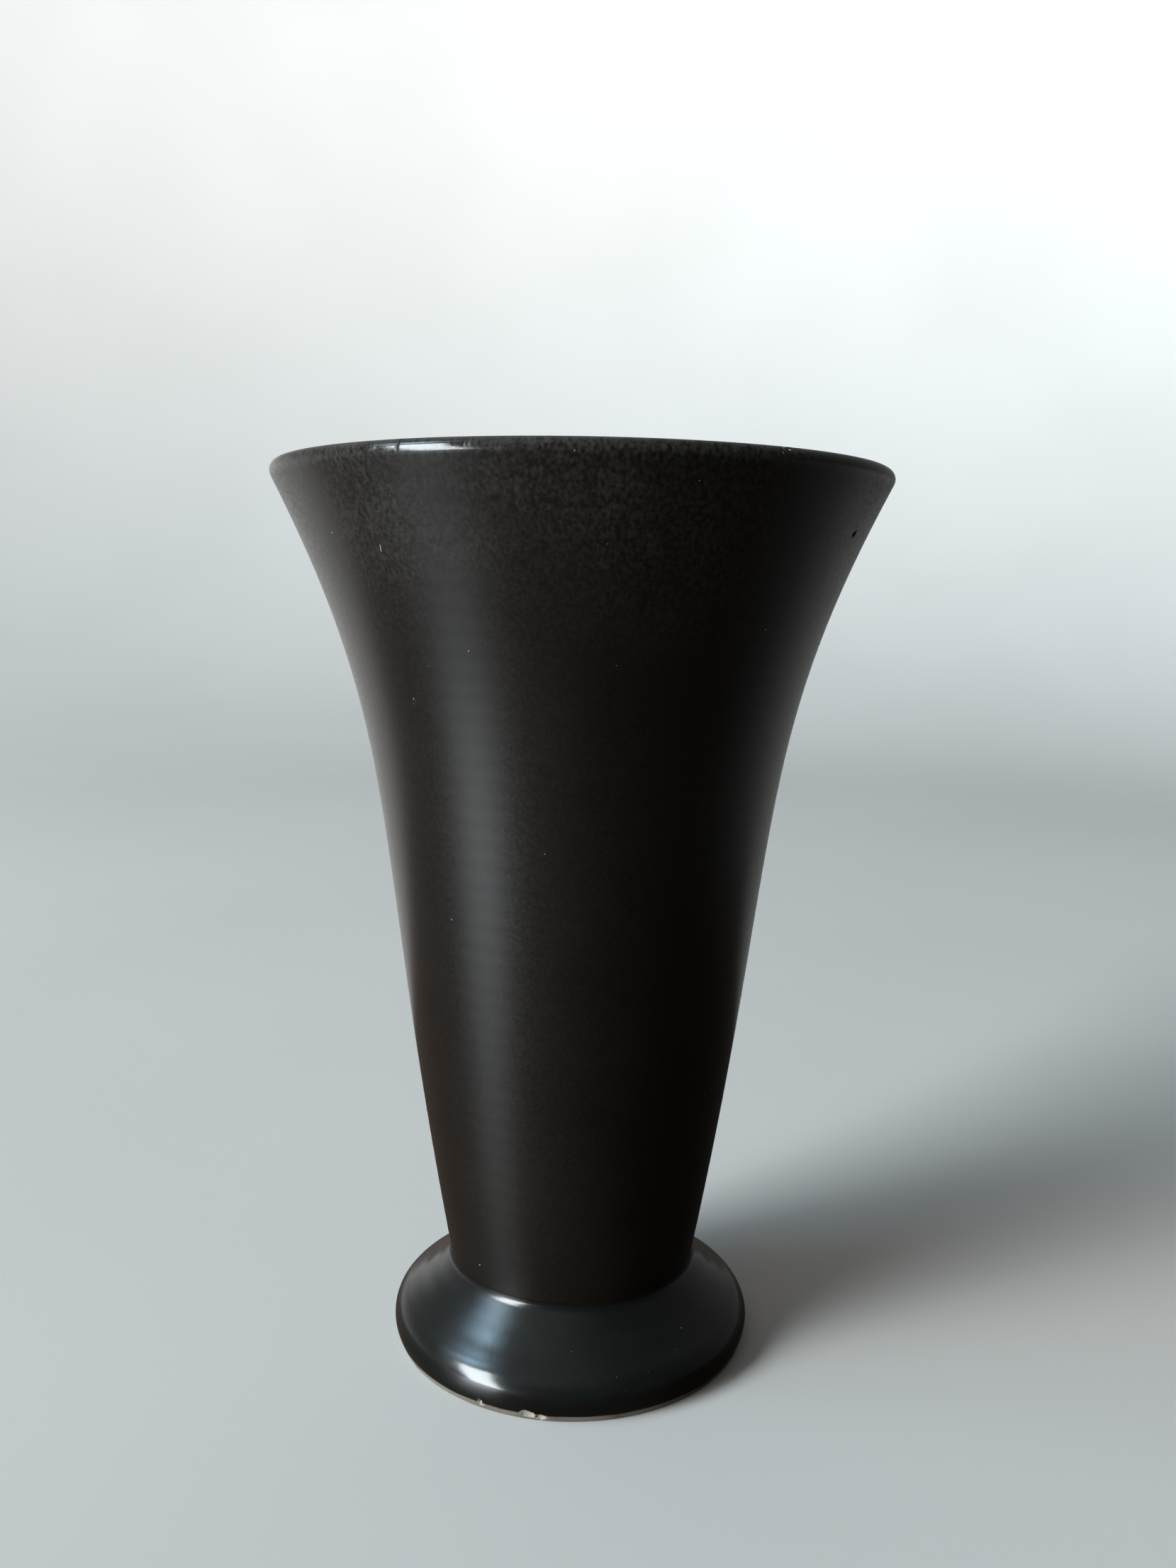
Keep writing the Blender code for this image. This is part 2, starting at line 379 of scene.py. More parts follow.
def build_wheel():
    """The tree that turns outlines."""
    tree, given = start_tree("potters_wheel", {
        "Outline": "Geometry", "Turn Steps": "Int", "Ring Depth": "Float", "Ring Spacing": "Float",
        "Ring Wander": "Float", "Edge Wander": "Float", "Seed": "Float", "Finish": "Material",
    })
    place = tree.nodes.new("GeometryNodeInputPosition").outputs[0]
    outline = given["Outline"]
    rows = add_node(tree, "GeometryNodeAttributeDomainSize", {0: outline}, component="MESH").outputs[0]
    columns = plus(tree, given["Turn Steps"], 1.0)
    grid = add_node(tree, "GeometryNodeMeshGrid", {
        "Size X": 1.0, "Size Y": 1.0, "Vertices X": rows, "Vertices Y": columns,
    })
    on_grid = axes_of(tree, place)
    last_row = calculate(tree, "SUBTRACT", rows, 1.0)
    row = calculate(tree, "ROUND", times(tree, plus(tree, on_grid[0], 0.5), last_row))
    angle = times(tree, plus(tree, on_grid[1], 0.5), 2 * pi)
    kept = tree.nodes.new("GeometryNodeCaptureAttribute")
    kept.capture_items.new("INT", "Row")
    kept.capture_items.new("FLOAT", "Angle")
    for i, source in enumerate((grid.outputs[0], row, angle)):
        tree.links.new(source, kept.inputs[i])
    row, angle = kept.outputs[1], kept.outputs[2]

    def looked_up(field, data_type="FLOAT_VECTOR"):
        """What the outline stores for this row."""
        sample = add_node(tree, "GeometryNodeSampleIndex", {0: outline}, data_type=data_type, domain="POINT")
        tree.links.new(field, sample.inputs["Value"])
        tree.links.new(row, sample.inputs["Index"])
        return sample.outputs[0]

    def wrapped(vector):
        """A vector of the flat outline, turned to this column's angle."""
        flat = axes_of(tree, vector)
        across = times(tree, flat[0], calculate(tree, "COSINE", angle))
        along = times(tree, flat[0], calculate(tree, "SINE", angle))
        return vector_of(tree, across, along, flat[2])

    def pushed(name, amount):
        """A stored direction, turned to this column's angle and made so long."""
        direction = wrapped(looked_up(named(tree, name, "FLOAT_VECTOR")))
        return vectors(tree, "SCALE", {0: direction, "Scale": amount})

    def wander(scale):
        """Slow noise from -1 to 1 that reads the place on the pot, so it has no seam."""
        texture = add_node(
            tree, "ShaderNodeTexNoise",
            {"Vector": place, "W": given["Seed"], "Scale": scale, "Detail": 2.0}, noise_dimensions="4D",
        )
        return times(tree, calculate(tree, "SUBTRACT", texture.outputs[0], 0.5), 2.0)

    turned = add_node(tree, "GeometryNodeSetPosition", {
        "Geometry": kept.outputs[0], "Position": wrapped(looked_up(place)),
    })
    travel = looked_up(named(tree, "travel"), "FLOAT")
    climb = times(tree, calculate(tree, "DIVIDE", travel, given["Ring Spacing"]), 2 * pi)
    unsteady = times(tree, wander(HAND_WANDER), given["Ring Wander"])
    phase = plus(tree, climb, plus(tree, angle, unsteady))
    groove = times(tree, plus(tree, calculate(tree, "SINE", phase), 1.0), -0.5)
    outward = pushed("press", times(tree, groove, given["Ring Depth"]))
    edgeward = pushed("edge", times(tree, wander(SPONGE_WANDER), given["Edge Wander"]))
    moved = vectors(tree, "ADD", {0: outward, 1: edgeward})
    marked = add_node(tree, "GeometryNodeSetPosition", {"Geometry": turned.outputs[0], "Offset": moved})
    joined = add_node(
        tree, "GeometryNodeMergeByDistance", {"Geometry": marked.outputs[0], "Distance": SEAM_WELD}
    )
    end_tree(tree, joined.outputs[0], given["Finish"])
    return tree


wheel = build_wheel()
print("the wheel has", len(wheel.nodes), "nodes")


# %% Mesh helpers
def line_mesh(name, line):
    """A flat outline as a chain of edges."""
    mesh = bpy.data.meshes.new(name)
    mesh.from_pydata([(r, 0.0, z) for r, z in line], [(i, i + 1) for i in range(len(line) - 1)], [])
    return mesh


def store(mesh, name, values):
    """Stores a number or a vector for each point of a mesh."""
    if isinstance(values[0], tuple):
        stored = mesh.attributes.new(name, "FLOAT_VECTOR", "POINT")
        stored.data.foreach_set("vector", [x for vector in values for x in vector])
    else:
        mesh.attributes.new(name, "FLOAT", "POINT").data.foreach_set("value", values)


def turn_out(shape):
    """Makes the faces of a closed bmesh agree, and then point outwards."""
    bmesh.ops.recalc_face_normals(shape, faces=shape.faces)
    if shape.calc_volume(signed=True) < 0.0:
        bmesh.ops.reverse_faces(shape, faces=shape.faces)


def face_out(mesh):
    """Points every face of a closed shell outwards and drops edges left over at its poles."""
    shell = bmesh.new()
    shell.from_mesh(mesh)
    bmesh.ops.delete(shell, geom=[e for e in shell.edges if not e.link_faces], context="EDGES")
    turn_out(shell)
    shell.to_mesh(mesh)
    shell.free()


def face_count(piece):
    """How large a piece is, in words."""
    return f"{piece.name}: {len(piece.data.polygons)} faces"


print("meshes are drawn by line_mesh, marked by store and turned outwards by face_out")


# %% Turn an outline into ware
TURN_STEPS = 240
SHARP = radians(38)
RING_WANDER = 1.6
STILL = (0.0, 0.0)


def turn_ware(name, outline, finish, ring_depth=0.0, ring_spacing=4 * MM,
              edge_wander=0.0, seed=1.0, steps=TURN_STEPS):
    """Turns a closed outline. Its points are (radius, height, press, edge): how much of the
    ring depth this point takes, and which way and how much it moves where an edge wanders."""
    line = [(r, z) for r, z, press, edge in outline]
    mesh = line_mesh(name + "_outline", line)
    turns = headings(line)
    presses = [(sin(a) * press, 0.0, -cos(a) * press) for a, (r, z, press, edge) in zip(turns, outline)]
    store(mesh, "press", presses)
    store(mesh, "edge", [(edge[0], 0.0, edge[1]) for r, z, press, edge in outline])
    store(mesh, "travel", travelled(line))
    piece = made_by(wheel, mesh, name, {
        "Turn Steps": steps, "Ring Depth": ring_depth, "Ring Spacing": ring_spacing,
        "Ring Wander": RING_WANDER, "Edge Wander": edge_wander, "Seed": seed, "Finish": finish,
    })
    face_out(piece.data)
    piece.data.set_sharp_from_angle(angle=SHARP)
    return piece


def plain(points, press=0.0):
    """Outline points that all take the same press and whose edges stay put."""
    return [(r, z, press, STILL) for r, z in points]


def coat_outline(surface, depth, wandering_start=False):
    """A glaze coat: its surface with the fingers' marks, then its plain back, then closed.
    The edge where the surface starts may wander along the line, front and back together."""
    back = inset(surface, depth)[::-1]
    back = back[:1] + back[1:-1:3] + back[-1:]
    outline = plain(surface, 1.0) + plain(back)
    along = towards(surface[0], surface[1], 1.0) if wandering_start else surface[0]
    whole = tuple(a - b for a, b in zip(along, surface[0]))
    half = tuple(c / 2 for c in whole)
    outline[0] = (*surface[0], 0.0, whole)
    outline[1] = (*surface[1], 1.0, half)
    outline[len(surface) - 1] = (*surface[-1], 0.0, STILL)
    outline[-1] = (*back[-1], 0.0, whole)
    return outline + outline[:1]


print("a full turn has", TURN_STEPS, "steps; an edge is sharp from", round(SHARP * 180 / pi), "degrees")


# %% [markdown]
# ## Finishes
# All black glazes look alike from far off, but each behaves in its own way. The coat on the
# body is satin: tiny crystals grow in it as it cools, most of all near the lip where it is
# thinnest, and they show as a grey-brown frost. The foot took a thicker, glassier coat, which
# is why it mirrors the window. The clay itself is a warm cream, dirty where hands touch it.
# The foot's clay is painted much darker still, partly dirt and partly painted shade, and the
# beaker's broken clay is painted paler, as painted light.
# Every pattern reads Object coordinates, because the ware sits at the origin in metres, so
# a noise scale of 1000 means features about a millimetre across.

# %% Material helpers
def new_finish(name):
    """An empty material: its tree, its shader and its Object coordinates."""
    material = bpy.data.materials.new(name)
    material.use_nodes = True
    tree = material.node_tree
    place = tree.nodes.new("ShaderNodeTexCoord").outputs["Object"]
    return material, tree, tree.nodes["Principled BSDF"], place


def fed(tree, shader, **values):
    """Links values to a shader's inputs: Base_Color=colour feeds its Base Color."""
    for name, value in values.items():
        tree.links.new(value, shader.inputs[name.replace("_", " ")])


def grain(tree, place, scale, detail=3.0, roughness=0.55, stretch=None):
    """Noise with features of about 1/scale metres, stretched if asked."""
    if stretch:
        place = add_node(tree, "ShaderNodeMapping", {"Vector": place, "Scale": stretch}).outputs[0]
    settings = {"Vector": place, "Scale": scale, "Detail": detail, "Roughness": roughness}
    return add_node(tree, "ShaderNodeTexNoise", settings).outputs["Fac"]


def graded(tree, value, low, high, to_low=0.0, to_high=1.0):
    """Maps a value from one range to another, softly and clamped."""
    return add_node(
        tree, "ShaderNodeMapRange",
        {"Value": value, "From Min": low, "From Max": high, "To Min": to_low, "To Max": to_high},
        interpolation_type="SMOOTHSTEP",
    ).outputs[0]


print("a noise of scale 1000 has", round(1 / 1000 / MM, 2), "mm features")


# %% Colours, stored values and bumps
def mixed(tree, factor, first, second, data_type, sockets):
    """A Mix node between two values, each a plain value or another node's socket."""
    return add_node(
        tree, "ShaderNodeMix", {"Factor": factor, sockets[0]: first, sockets[1]: second}, data_type=data_type
    )


def blended(tree, factor, first, second):
    """A colour between two others."""
    first, second = ((*colour, 1.0) if isinstance(colour, tuple) else colour for colour in (first, second))
    return mixed(tree, factor, first, second, "RGBA", (6, 7)).outputs[2]


def clouded(tree, cloud, first, second):
    """A colour that drifts slowly between two others."""
    return blended(tree, graded(tree, cloud, 0.3, 0.7), first, second)


def stored(tree, name):
    """What the mesh has stored under a name, as a material reads it."""
    return add_node(tree, "ShaderNodeAttribute", attribute_name=name).outputs["Fac"]


def bumped(tree, shader, height_value, distance, strength):
    """Gives a shader a bump that is so many metres high."""
    settings = {"Height": height_value, "Distance": distance, "Strength": strength}
    bump = add_node(tree, "ShaderNodeBump", settings)
    fed(tree, shader, Normal=bump.outputs[0])


def node_count(material):
    """How large a finish is, in words."""
    return f"{material.name}: {len(material.node_tree.nodes)} nodes"


print("colours are mixed by blended and clouded; the mesh's own values come from stored")


# %% The satin glaze of the body
def satin_glaze():
    material, tree, shader, place = new_finish("satin_black_glaze")
    axes = axes_of(tree, place)
    up_the_pot = axes[2]
    # Round the pot by direction and up it by height, so a pattern can be drawn out along the wall.
    direction = axes_of(tree, vectors(tree, "NORMALIZE", {0: vector_of(tree, axes[0], axes[1])}))
    flowed = vector_of(tree, direction[0], direction[1], times(tree, up_the_pot, 10.0))
    cloud = grain(tree, place, 38.0, 3.0)
    mottle = grain(tree, place, 1150.0, 4.0, 0.62)
    fleck = grain(tree, place, 2600.0, 2.0, 0.6)
    streaks = grain(tree, flowed, 75.0, 4.0, 0.65)
    frost_band = graded(tree, up_the_pot, 0.78 * height, 1.0 * height)
    patchy = graded(tree, cloud, 0.32, 0.68, 0.35, 1.0)
    grains = plus(tree, times(tree, mottle, 0.4), times(tree, streaks, 0.6))
    speckled = graded(tree, grains, 0.36, 0.70)
    frost = times(tree, times(tree, frost_band, patchy), speckled)
    ground = clouded(tree, cloud, (0.0034, 0.0024, 0.0016), (0.0052, 0.0036, 0.0025))
    ground = blended(tree, times(tree, speckled, 0.35), ground, (0.0080, 0.0064, 0.0050))
    colour = blended(tree, times(tree, frost, 0.75), ground, (0.031, 0.029, 0.026))
    # The lip is paler and glossier, down to a ragged limit that follows the streaks.
    ragged_height = plus(tree, up_the_pot, times(tree, streaks, 3.5 * MM))
    on_lip = graded(tree, ragged_height, height - 2.6 * MM, height + 0.8 * MM)
    lip_frost = times(tree, on_lip, graded(tree, streaks, 0.32, 0.66, 0.0, 0.8))
    colour = blended(tree, lip_frost, colour, (0.034, 0.033, 0.030))
    stain = stored(tree, "stain")
    colour = blended(tree, stain, colour, (0.0030, 0.0024, 0.0020))
    rough = plus(tree, graded(tree, mottle, 0.3, 0.7, 0.29, 0.35), times(tree, frost, 0.22))
    rough = calculate(tree, "SUBTRACT", rough, times(tree, on_lip, 0.25))
    rough = calculate(tree, "MAXIMUM", rough, times(tree, stain, 0.85))
    fed(tree, shader, Base_Color=colour, Roughness=rough)
    shader.inputs["IOR"].default_value = 1.5
    bumped(tree, shader, plus(tree, mottle, times(tree, fleck, 0.5)), 0.008 * MM, 0.6)
    return material


satin = satin_glaze()
print(node_count(satin))


# %% The glassy glaze of the foot
def gloss_glaze():
    material, tree, shader, place = new_finish("glossy_black_glaze")
    cloud = grain(tree, place, 60.0, 3.0)
    orange_peel = grain(tree, place, 420.0, 2.0)
    specks = grain(tree, place, 1400.0, 3.0, 0.7)
    colour = clouded(tree, cloud, (0.0020, 0.0027, 0.0025), (0.0036, 0.0046, 0.0044))
    colour = blended(tree, graded(tree, specks, 0.66, 0.78, 0.0, 0.6), colour, (0.030, 0.034, 0.034))
    fed(tree, shader, Base_Color=colour, Roughness=graded(tree, cloud, 0.3, 0.7, 0.13, 0.22))
    shader.inputs["IOR"].default_value = 1.52
    shader.inputs["Coat Weight"].default_value = 0.15
    shader.inputs["Coat Roughness"].default_value = 0.34
    bumped(tree, shader, orange_peel, 0.03 * MM, 0.5)
    return material


gloss = gloss_glaze()
print(node_count(gloss))


# %% The liner glaze inside
def liner_glaze():
    material, tree, shader, place = new_finish("black_liner_glaze")
    cloud = grain(tree, place, 45.0, 3.0)
    mottle = grain(tree, place, 700.0, 3.0, 0.6)
    colour = clouded(tree, cloud, (0.0040, 0.0032, 0.0028), (0.0072, 0.0058, 0.0050))
    colour = blended(tree, graded(tree, mottle, 0.52, 0.70, 0.0, 0.4), colour, (0.022, 0.020, 0.018))
    fed(tree, shader, Base_Color=colour, Roughness=graded(tree, mottle, 0.3, 0.7, 0.24, 0.34))
    bumped(tree, shader, mottle, 0.015 * MM, 0.5)
    return material


liner = liner_glaze()
print(node_count(liner))


# %% The clay under the glaze
def fired_clay(name, pale, dirty, low, high, broken=(0.35, 0.315, 0.26)):
    """Cream earthenware, stained where dirt has rubbed into its pores between two heights,
    and clean where it is freshly broken. A paler broken colour given to it is painted light on
    the break, and a much darker clay colour is partly painted shade."""
    material, tree, shader, place = new_finish(name)
    pores = grain(tree, place, 1300.0, 4.0, 0.65)
    stain = grain(tree, place, 120.0, 4.0, 0.6)
    sand = grain(tree, place, 2600.0, 2.0)
    colour = blended(tree, graded(tree, stain, 0.42, 0.66), pale, dirty)
    lowest = graded(tree, axes_of(tree, place)[2], high, low)
    rubbed = times(tree, lowest, graded(tree, pores, 0.35, 0.6, 0.1, 0.65))
    colour = blended(tree, rubbed, colour, tuple(c * 0.55 for c in dirty))
    colour = blended(tree, graded(tree, sand, 0.66, 0.74, 0.0, 0.5), colour, (0.12, 0.09, 0.06))
    fresh = times(tree, stored(tree, "fresh"), graded(tree, pores, 0.3, 0.7, 0.7, 1.0))
    colour = blended(tree, fresh, colour, broken)
    fed(tree, shader, Base_Color=colour, Roughness=graded(tree, pores, 0.3, 0.7, 0.78, 0.93))
    bumped(tree, shader, plus(tree, pores, times(tree, sand, 0.4)), 0.06 * MM, 0.8)
    return material


# The beaker's broken clay is painted far paler than the foot's: painted light on the lip chip, which faces
# away from the window.
beaker_clay = fired_clay(
    "beaker_clay", (0.42, 0.38, 0.31), (0.33, 0.28, 0.22), -0.002, 0.0, broken=(0.66, 0.62, 0.54)
)
# The foot's clay is painted much darker than the beaker's: partly dirt on the standing ring, partly painted
# shade that tones down the window's light on it.
foot_clay = fired_clay("foot_clay", (0.175, 0.152, 0.118), (0.110, 0.092, 0.068), 0.0, 0.6 * MM)
slip_clay = fired_clay("slip_clay", (0.38, 0.33, 0.26), (0.28, 0.23, 0.17), -0.002, 0.0)
print("clays:", [node_count(clay) for clay in (beaker_clay, foot_clay, slip_clay)])


# %% [markdown]
# ## Body coat
# One coat covers the outside from the crease up, rolls over the lip and stops a little way
# down inside. It could be a single surface, but a coat has thickness, and a chip shows it, so
# it is a thin closed shell with its own back. The throwing spiral lies faintly on it.

# %% Turn the body coat
GLAZE = 0.35 * MM
GAP = 0.05 * MM
ROW = 1.0 * MM

first_row = next(i for i, p in enumerate(wall_line) if p[1] > cove_top[1] - 0.3 * MM)
lap_end = next(i for i, p in enumerate(inner_wall) if p[1] < height - LIP_LAP)
body_surface = spaced(wall_line[first_row:], ROW) + lip_line + spaced(inner_wall[:lap_end], ROW)
body_coat = turn_ware(
    "body_coat", coat_outline(body_surface, GLAZE), satin,
    ring_depth=0.014 * MM, ring_spacing=4.6 * MM, seed=2.0,
)
print(face_count(body_coat))


# %% [markdown]
# ## Inside
# Nothing shows inside from the front, but a vase is looked into from above. Fingers dig
# deeper inside than a rib leaves outside, so the same wheel presses a stronger spiral, which
# runs down the wall, round the soft corner and in across the floor.

# %% Turn the liner coat
FLOOR_ROUNDING = 10.0 * MM
liner_wall = spaced(inner_wall[lap_end - 1:-25], ROW)
wall_foot = liner_wall[-1]
floor_corner = (wall_foot[0] - (wall_foot[1] - floor_height) * sin(CREASE_LEAN), floor_height)
floor_start = (floor_corner[0] - FLOOR_ROUNDING, floor_height)
liner_surface = (
    liner_wall[:-1]
    + spaced(rounding(wall_foot, floor_corner, floor_start, 24), ROW)
    + spaced([floor_start, (0.0, floor_height)], ROW)[1:]
)
liner_back = inset(liner_surface, GLAZE)[::-1]
liner_outline = [(r, z, min(r / (4 * MM), 1.0), STILL) for r, z in liner_surface]
liner_outline[0] = (*liner_surface[0], 0.0, STILL)
liner_outline += plain([(0.0, floor_height - GLAZE)] + liner_back[1:-1:3] + liner_back[-1:])
liner_coat = turn_ware(
    "liner_coat", liner_outline + liner_outline[:1], liner,
    ring_depth=0.28 * MM, ring_spacing=6.5 * MM, seed=5.0,
)
print(face_count(liner_coat))


# %% Turn the beaker's clay
COARSE_STEPS = 144
clay_depth = GLAZE + GAP
clay_skin = inset(body_surface + liner_surface[1:], clay_depth)
beaker_line = [(0.0, beaker_bottom), (crease_radius - 1.4 * MM, beaker_bottom)] + clay_skin[::2]
if beaker_line[-1][0] > 0.0:
    beaker_line.append((0.0, floor_height - clay_depth))
beaker_ware = turn_ware("beaker_ware", plain(beaker_line), beaker_clay, steps=COARSE_STEPS)
print(face_count(beaker_ware))


# %% [markdown]
# ## Foot
# The foot's glaze starts above a line that was wiped with a sponge so that the pot wouldn't
# stick to the kiln shelf. That line is never quite level, so its edge wanders. The clay foot
# comes flush to the surface below the line and lies one glaze thickness under it above.

# %% Turn the foot's coat and its clay
foot_dense = spaced(foot_line, 0.6 * MM)
wiped = next(i for i, p in enumerate(foot_dense) if p[1] > BARE_LINE)
foot_coat = turn_ware(
    "foot_coat", coat_outline(foot_dense[wiped:], GLAZE, wandering_start=True), gloss,
    ring_depth=0.04 * MM, ring_spacing=5.2 * MM, edge_wander=0.28 * MM, seed=3.0,
)
RING_INNER_RADIUS = 36.5 * MM
COLLAR_RADIUS = 20.0 * MM
VAULT_SPRING = (34.3 * MM, 5.0 * MM)
under_coat = [p for p in inset(foot_dense[wiped - 1:], clay_depth) if p[1] < collar_top - 0.5 * MM]
ring_edge = rounding(
    (FOOT_RADIUS - 0.5 * MM, 0.0), (FOOT_RADIUS, 0.0), towards(base, foot_dense[1], 0.4 * MM), 4
)
flush = [p for p in foot_dense[:wiped] if p[1] > ring_edge[-1][1] + 0.1 * MM]
vault = rounding((COLLAR_RADIUS, collar_top - 1.5 * MM), (27.5 * MM, 16.5 * MM), VAULT_SPRING, 18)
vault += rounding(VAULT_SPRING, (36.0 * MM, 1.8 * MM), (RING_INNER_RADIUS, 0.0), 5)[1:]
foot_outline = plain([(RING_INNER_RADIUS, 0.0)] + ring_edge + flush + under_coat)
foot_outline += plain([(under_coat[-1][0] - 0.3 * MM, collar_top), (COLLAR_RADIUS, collar_top)])
foot_outline += [(r, z, 1.0 if 3 * MM < z < 15 * MM else 0.0, STILL) for r, z in spaced(vault, 0.8 * MM)]
foot_ware = turn_ware(
    "foot_ware", foot_outline, foot_clay, ring_depth=0.25 * MM, ring_spacing=3.1 * MM, seed=4.0
)
print(face_count(foot_coat), "and", face_count(foot_ware))


# %% Squeeze out the slip
slip_middle = (slip_low.z + slip_high.z) / 2
slip_line = rounding(
    (COLLAR_RADIUS + 0.1 * MM, slip_low.z - 0.2 * MM),
    (COLLAR_RADIUS - 1.0 * MM, slip_middle),
    (COLLAR_RADIUS + 0.1 * MM, slip_high.z + 0.1 * MM),
    6,
)
slip_line += [(slip_high.x, slip_high.z), (slip_high.x, slip_low.z)]
slip_outline = plain(slip_line[::-1])
slip_ring = turn_ware("slip_ring", slip_outline + slip_outline[:1], slip_clay, steps=COARSE_STEPS, seed=6.0)
print(face_count(slip_ring))


# %% [markdown]
# ## Wear
# A chip is a bite out of the glaze and of the clay beneath it, so it can't be painted on. It
# could be pressed in by moving points, but a bite has a sharp broken edge, and a Boolean cuts
# exactly that. The cutters are balls knocked about by noise, small stones of a fixed shape.
# The same stone cuts the coat and the ware, so the two breaks meet.

# %% Make the cutting stones
KNOCKS = 0.32


def on_the_pot(angle, radius, up_the_pot):
    """The point at an angle from the front, towards the right."""
    return Vector((radius * sin(angle), -radius * cos(angle), up_the_pot))


def surface_radius(line, up_the_pot):
    """The radius of a rising or falling line at a height."""
    for (r0, z0), (r1, z1) in zip(line, line[1:]):
        if min(z0, z1) <= up_the_pot <= max(z0, z1) and z0 != z1:
            return r0 + (r1 - r0) * (up_the_pot - z0) / (z1 - z0)
    return line[-1][0]


def stone(degrees, radius, up_the_pot, size, seed, tilt=0.0):
    """A knocked-about ball. Its size in mm is along the rim, into the wall and upwards."""
    lump = bmesh.new()
    bmesh.ops.create_icosphere(lump, subdivisions=3, radius=0.5)
    turn = Matrix.Rotation(radians(degrees), 3, "Z") @ Matrix.Rotation(radians(tilt), 3, "Y")
    middle = on_the_pot(radians(degrees), radius, up_the_pot)
    lengths = [length * MM for length in size]
    for point in lump.verts:
        shifted = point.co * 3.2 + Vector((seed * 7.3, seed * 1.9, 0.0))
        knocked = 1 + KNOCKS * noise.noise(shifted) + 0.4 * KNOCKS * noise.noise(shifted * 3)
        grown = point.co * knocked
        point.co = turn @ Vector(side * length for side, length in zip(grown, lengths)) + middle
    return solid(lump, "stone")


def solid(shape, name):
    """A hidden mesh object from a bmesh, with its faces outwards."""
    turn_out(shape)
    mesh = bpy.data.meshes.new(name)
    shape.to_mesh(mesh)
    shape.free()
    return placed(name, mesh)


def carve(piece, cutters):
    """Cuts the cutters out of a piece and keeps the result as its plain mesh."""
    for cutter in cutters:
        cutter.data.materials.clear()
        cutter.data.materials.append(piece.data.materials[0])
        cut = piece.modifiers.new("cut", "BOOLEAN")
        cut.operation = "DIFFERENCE"
        cut.solver = "EXACT"
        cut.object = cutter
    mesh = real_mesh(piece)
    piece.modifiers.clear()
    mesh.name = piece.name
    piece.data = mesh


def mark_cut(piece, cutters, name, reach=0.03 * MM):
    """Stores which points lie on a cut: 1 on the broken surface, 0 on the old one."""
    marked = [0.0] * len(piece.data.vertices)
    for cutter in cutters:
        for i, point in enumerate(piece.data.vertices):
            if cutter.closest_point_on_mesh(point.co, distance=reach)[0]:
                marked[i] = 1.0
    store(piece.data, name, marked)
    return int(sum(marked))


print("wall radius at half height:", round(surface_radius(wall_line, height / 2) / MM, 2), "mm")


# %% Bite the chips
foot_chips = [
    stone(-27.6, 43.75 * MM, 1.75 * MM, (1.8, 2.2, 2.2), 1.0),
    stone(-12.4, 43.75 * MM, 1.45 * MM, (4.2, 2.6, 2.3), 2.0, tilt=6.0),
    stone(-8.6, 43.50 * MM, 0.95 * MM, (2.6, 2.0, 1.8), 3.0),
    stone(-68.5, 43.30 * MM, 0.9 * MM, (1.3, 1.6, 1.5), 4.0),
    stone(142.0, 43.40 * MM, 0.9 * MM, (3.0, 1.9, 2.0), 5.0),
]
lip_chips = [
    stone(33.7, 69.1 * MM, height - 0.35 * MM, (1.6, 2.6, 1.5), 6.0),
    stone(32.1, 70.1 * MM, height - 1.0 * MM, (0.9, 1.8, 2.3), 7.0),
]
carve(foot_coat, foot_chips)
carve(foot_ware, foot_chips)
carve(body_coat, lip_chips)
carve(beaker_ware, lip_chips)
print("freshly broken points:", mark_cut(foot_ware, foot_chips, "fresh"), "on the foot,",
      mark_cut(beaker_ware, lip_chips, "fresh"), "on the beaker")

# %% [markdown]
# ## Flaws in the glaze
# A fine crack crosses the lip, as glaze splits where it is thin and stretched round an edge.
# It is cut with a thin wavy blade that follows the lip's own curve. Pits are craters left by
# bubbles. They are shallower than the coat, so no clay shows in them.

# %% Cut the crack and the pits
BLADE_STEPS = 14
BLADE_SWAY = 0.25 * MM
BLADE_BACK = 0.3 * MM


def lip_blade(degrees, low, high, wide, deep, seed):
    """A thin blade round the lip's arc from one angle of the arc to another."""
    angle, low, high = (radians(x) for x in (degrees, low, high))
    blade = bmesh.new()
    rows = []
    for i in range(BLADE_STEPS + 1):
        a = low + (high - low) * i / BLADE_STEPS
        sway = BLADE_SWAY * noise.noise(Vector((i * 0.45, seed, 0.0)))
        half = wide / 2 * sin(pi * (i + 1) / (BLADE_STEPS + 2)) ** 0.5
        corners = []
        for reach, side in ((-deep, 0.0), (BLADE_BACK, half), (BLADE_BACK, -half)):
            r = lip_centre[0] + (LIP_RADIUS + reach) * cos(a)
            z = lip_centre[1] + (LIP_RADIUS + reach) * sin(a)
            corners.append(blade.verts.new(on_the_pot(angle + (sway + side) / r, r, z)))
        rows.append(corners)
    for here, there in zip(rows, rows[1:]):
        for k in range(3):
            blade.faces.new((here[k], here[(k + 1) % 3], there[(k + 1) % 3], there[k]))
    blade.faces.new(rows[0])
    blade.faces.new(rows[-1][::-1])
    return solid(blade, "blade")


